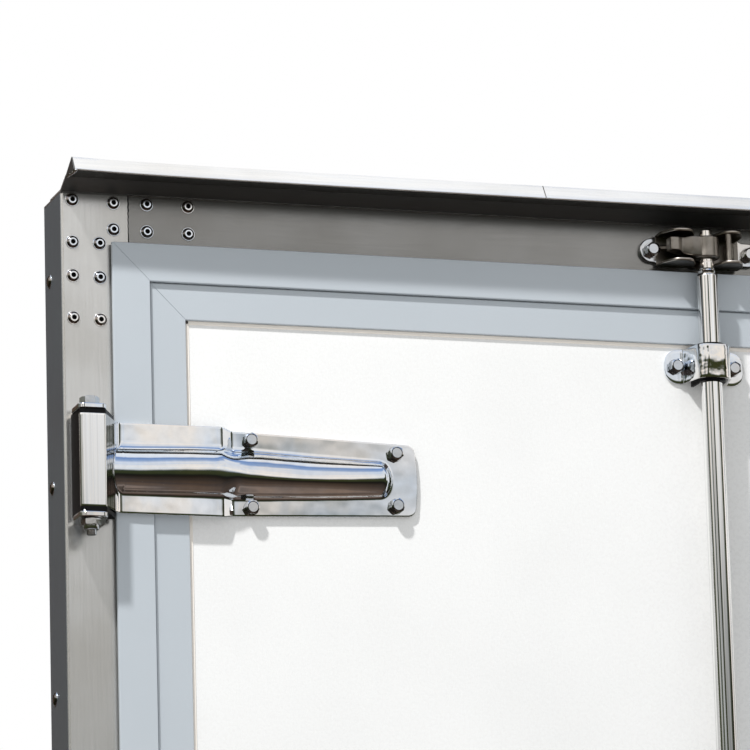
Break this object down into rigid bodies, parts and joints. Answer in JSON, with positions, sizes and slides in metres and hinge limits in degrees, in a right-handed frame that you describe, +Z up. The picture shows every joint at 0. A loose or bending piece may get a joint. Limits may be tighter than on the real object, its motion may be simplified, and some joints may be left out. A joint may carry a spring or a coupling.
{
  "type": "refrigerated truck rear door frame",
  "caption": "Stainless rear door frame of a small refrigerated truck body, with a pair of insulated leaves on pressed strap hinges and upright lock rods with cams and keepers.",
  "frame": {"origin": "middle of the sill's underside, in the face that rests on the chassis cross member", "axes": "+X to the right as seen from behind the vehicle, +Y into the load space, +Z up"},
  "size_m": [1.9, 0.1692, 1.8225],
  "materials": {
    "stainless_brushed": "brushed sheet",
    "stainless_polished": "bright pressed sheet",
    "stainless_cast": "satin investment casting",
    "stainless_rod": "polished tube",
    "stainless_bolt": "forged bolt head",
    "edge_profile": "pale blue-grey coating",
    "threshold_aluminium": "mill finish",
    "panel_white": "white gel coat",
    "pvc_grey": "moulded grey",
    "nylon_black": "matt black",
    "rubber_black": "matt black",
    "foam_core": "closed-cell foam"
  },
  "bodies": {
    "frame": {"post_left": "stainless_brushed", "post_right": "stainless_brushed", "header": "stainless_brushed", "sill": "stainless_brushed", "visor": "stainless_brushed", "core_left": "foam_core", "core_right": "foam_core", "core_top": "foam_core", "core_bottom": "foam_core", "jamb_left": "pvc_grey", "jamb_right": "pvc_grey", "jamb_top": "pvc_grey", "threshold": "threshold_aluminium", "hinge_brackets_left": "stainless_polished", "hinge_brackets_right": "stainless_polished", "hinge_pins_left": "stainless_bolt", "hinge_pins_right": "stainless_bolt", "keeper_top_left": "stainless_cast", "keeper_top_right": "stainless_cast", "keeper_bottom_left": "stainless_cast", "keeper_bottom_right": "stainless_cast"},
    "door_left": {"panel_left": "panel_white", "edge_frame_left": "edge_profile", "cover_strip_left": "edge_profile", "seal_left": "rubber_black", "hinge_straps_left": "stainless_polished", "hinge_inserts_left": "nylon_black", "rod_guides_left": "stainless_polished", "guide_bushes_left": "nylon_black", "handle_catch_left": "stainless_cast"},
    "lock_left": {"lock_rod_left": "stainless_rod", "lock_stubs_left": "stainless_rod", "lock_cams_left": "stainless_cast", "lock_handle_left": "stainless_cast"},
    "door_right": {"panel_right": "panel_white", "edge_frame_right": "edge_profile", "cover_strip_right": "edge_profile", "seal_right": "rubber_black", "hinge_straps_right": "stainless_polished", "hinge_inserts_right": "nylon_black", "rod_guides_right": "stainless_polished", "guide_bushes_right": "nylon_black", "handle_catch_right": "stainless_cast"},
    "lock_right": {"lock_rod_right": "stainless_rod", "lock_stubs_right": "stainless_rod", "lock_cams_right": "stainless_cast", "lock_handle_right": "stainless_cast"}
  },
  "joints": [
    {"name": "door_left_swing", "type": "hinge", "parent": "frame", "child": "door_left", "pos_m": [-0.933, -0.066, 0.9], "axis": [0, 0, -1], "range_deg": [0, 240]},
    {"name": "lock_left_turn", "type": "hinge", "parent": "door_left", "child": "lock_left", "pos_m": [-0.2785, -0.0545, 0.9], "axis": [0, 0, 1], "range_deg": [0, 100]},
    {"name": "door_right_swing", "type": "hinge", "parent": "frame", "child": "door_right", "pos_m": [0.933, -0.066, 0.9], "axis": [0, 0, 1], "range_deg": [0, 240]},
    {"name": "lock_right_turn", "type": "hinge", "parent": "door_right", "child": "lock_right", "pos_m": [0.2785, -0.0545, 0.9], "axis": [0, 0, -1], "range_deg": [0, 100]}
  ]
}
